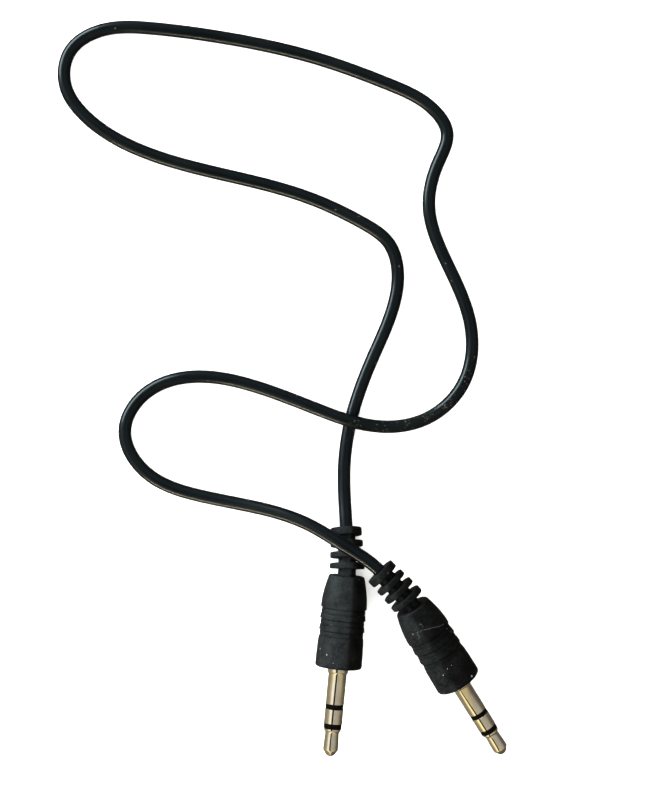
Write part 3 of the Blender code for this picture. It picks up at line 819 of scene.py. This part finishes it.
def moulding_finish():
    """Matte black PVC with dust stuck to it. Its left side is painted paler as painted light and its
    right side darker as painted shade, split at the parting line.
    """
    shader = Shader("moulded_pvc")
    shader.set(Specular_IOR_Level=0.07, Specular_Tint=(0.92, 0.97, 1.0, 1.0))
    coarse = shader.math("MULTIPLY", shader.noise(420.0, 4.0, 0.6), COARSE_SHARE)
    fine = shader.math("MULTIPLY", shader.noise(2700.0, 3.0, 0.7), FINE_SHARE)
    blotches = shader.math("ADD", coarse, fine)
    pale = shader.ramp(blotches, MOULDING_PAINTED_LIT)
    dark = shader.ramp(blotches, MOULDING_PAINTED_SHADE)
    # Painted light and shade: the paler tones go on the left side, which faces the light, and the
    # darker ones on the right side, which is in shade
    tone = shader.mixed(shader.attribute("painted_light_side"), dark, pale)
    tone = shader.mixed(shader.specks(1500.0, 0.16, 0.06), tone, DUST_TONE)
    grit = shader.specks(620.0, 0.14, 0.07)
    tone = shader.mixed(grit, tone, GRIT_TONE)
    tone = shader.mixed(shader.strokes(FLECKS, FLECK_WIDTH), tone, FLECK_TONE)
    tone = shader.mixed(shader.strokes(FIBRE, FIBRE_WIDTH), tone, FIBRE_TONE)
    shader.link(tone, "Base Color")
    shader.link(shader.ramp(shader.noise(210.0, 3.0, 0.6), MOULDING_ROUGHNESS), "Roughness")
    shader.bumps(
        (shader.noise(6000.0, 2.0, 0.6), 0.00004, 0.7),
        (shader.noise(1100.0, 4.0, 0.6), 0.00005, 0.5),
        (grit, 0.00004, 0.6),
    )
    return shader.material


def jacket_finish():
    """Satin black PVC, blue-green in the light, with faint waves, scuffs and dust."""
    shader = Shader("jacket_pvc")
    shader.set(
        Specular_IOR_Level=0.13,
        Specular_Tint=(0.80, 0.95, 1.0, 1.0),
        Coat_Weight=0.12,
        Coat_Roughness=0.09,
    )
    tone = shader.ramp(shader.noise(120.0, 3.0, 0.5), JACKET_TONE)
    tone = shader.mixed(shader.specks(900.0, 0.13, 0.05), tone, CORD_DUST_TONE)
    for spot in DUSTY_PLACES:
        dust = shader.specks(2600.0, 0.30, 0.28)
        stuck = shader.math("MULTIPLY", dust, shader.near(spot, DUSTY_REACH))
        tone = shader.mixed(stuck, tone, CORD_CLUSTER_TONE)
    shader.link(tone, "Base Color")
    shader.link(shader.ramp(shader.noise(160.0, 3.0, 0.6), JACKET_ROUGHNESS), "Roughness")
    shader.bumps(
        (shader.noise(5200.0, 2.0, 0.5), 0.000012, 0.35),
        (shader.noise(260.0, 2.0, 0.5), 0.00006, 0.25),
    )
    return shader.material


def nickel_finish():
    """Polished nickel plate, warm, with fine marks and a little tarnish."""
    shader = Shader("nickel_plate")
    shader.set(Metallic=1.0)
    shader.link(shader.ramp(shader.noise(700.0, 4.0, 0.6), NICKEL_TONE), "Base Color")
    shader.link(shader.ramp(shader.noise(1600.0, 3.0, 0.6), NICKEL_ROUGHNESS), "Roughness")
    shader.bumps((shader.noise(3800.0, 3.0, 0.6), 0.000006, 0.3))
    return shader.material


def band_finish():
    """The hard black plastic of the two bands."""
    shader = Shader("band_nylon")
    shader.set(Roughness=0.30, Specular_IOR_Level=0.03)
    shader.link(shader.ramp(shader.noise(2500.0), BAND_TONE), "Base Color")
    shader.bumps((shader.noise(5000.0), 0.000008, 0.3))
    return shader.material


def plain_finish(name, dark, light, roughness, metallic, scale):
    """A finish for the pieces inside: two tones, uneven gloss and a fine bump."""
    shader = Shader(name)
    shader.set(Metallic=metallic)
    shader.link(shader.ramp(shader.noise(scale, 3.0, 0.6), ((0.3, dark), (0.7, light))), "Base Color")
    gloss = ((0.3, roughness * 0.85), (0.7, roughness * 1.2))
    shader.link(shader.ramp(shader.noise(scale * 2.0), gloss), "Roughness")
    shader.bumps((shader.noise(scale * 3.0), 0.00001, 0.3))
    return shader.material


def finish_inner_nodes():
    """Gives each CAD node inside the plugs its own kind of finish."""
    finishes = {slot: plain_finish(*facts) for slot, facts in INNER_FINISHES.items()}
    slots = {entry["node"]: entry["material_slot"] for entry in frame["record"]["subparts"]}
    for name, node in frame["nodes"].items():
        finish = finishes.get(slots[name])
        if finish:
            node.data.materials.clear()
            node.data.materials.append(finish)


def floor():
    """A plain pale surface under the lead."""
    corners = ((-1, -1), (1, -1), (1, 1), (-1, 1))
    mesh = bpy.data.meshes.new("floor")
    verts = [(FLOOR_HALF * x, FLOOR_HALF * y, 0) for x, y in corners]
    mesh.from_pydata(verts, [], [(0, 1, 2, 3)])
    shader = Shader("paper")
    shader.link(shader.ramp(shader.noise(12.0), FLOOR_TONE), "Base Color")
    shader.set(Roughness=0.9, Specular_IOR_Level=0.1)
    mesh.materials.append(shader.material)
    obj = bpy.data.objects.new("floor", mesh)
    bpy.context.scene.collection.objects.link(obj)
    obj.visible_glossy = False


def softbox(name):
    """The area light of this name, facing the point that all the lights face."""
    place, size, power, color = LIGHTS[name]
    light = bpy.data.lights.new(name, "AREA")
    light.shape = "RECTANGLE"
    light.size, light.size_y = size
    light.energy = power
    light.color = color
    obj = bpy.data.objects.new(name, light)
    obj.location = place
    facing = Vector(LIGHTS_AIM) - Vector(place)
    obj.rotation_euler = facing.to_track_quat("-Z", "Y").to_euler()
    bpy.context.scene.collection.objects.link(obj)
    return obj


def lights(cord, mouldings):
    """Soft light from above and the left that leaves no reflection, a window that only the
    plastic sees, and a low warm strip that only the cord sees."""
    softbox("overhead").visible_glossy = False
    softbox("fill").visible_glossy = False
    for name, lit in (("window", (cord, *mouldings)), ("strip", (cord,))):
        receivers = bpy.data.collections.new("lit_by_" + name)
        for obj in lit:
            receivers.objects.link(obj)
        softbox(name).light_linking.receiver_collection = receivers


def sky():
    """The sky that the metal reflects: bright to the left, warm to the front, dim to the right."""
    world = bpy.data.worlds.new("sky")
    world.use_nodes = True
    tree = Nodes(world.node_tree)
    direction = tree.nodes.new("ShaderNodeSeparateXYZ")
    source = tree.nodes.new("ShaderNodeTexCoord").outputs["Generated"]
    tree.feed(direction.inputs["Vector"], source)
    x, y, z = direction.outputs
    leaning = tree.ranged(tree.math("DIVIDE", x, z), -SKY_SPAN, SKY_SPAN)
    stops = [(0.5 + 0.5 * lean / SKY_SPAN, level) for lean, level in SKY]
    warmth = tree.ranged(tree.math("DIVIDE", y, z), WARM_FROM, WARM_TO)
    tone = tree.mixed(warmth, SKY_TONE, WARM_TONE)
    above = tree.vector("MULTIPLY", tree.ramp(leaning, stops), tone)
    below = tree.mixed(tree.math("GREATER_THAN", x, 0.0), GROUND_LEFT, GROUND_RIGHT)
    whole = tree.mixed(tree.math("GREATER_THAN", z, 0.0), below, above)
    tree.feed(tree.nodes["Background"].inputs["Color"], whole)
    bpy.context.scene.world = world


camera()
places = {suffix: plug_frame(suffix) for suffix in PLUGS}
cord = free_cord(places, jacket_finish())
black = moulding_finish()
nickel = nickel_finish()
plastic = band_finish()
mouldings = []
for suffix, place in places.items():
    mouldings.append(moulding(suffix, place, black))
    jack(suffix, place, nickel, plastic)
finish_inner_nodes()
floor()
lights(cord, mouldings)
sky()
bpy.context.scene.view_settings.view_transform = "Standard"
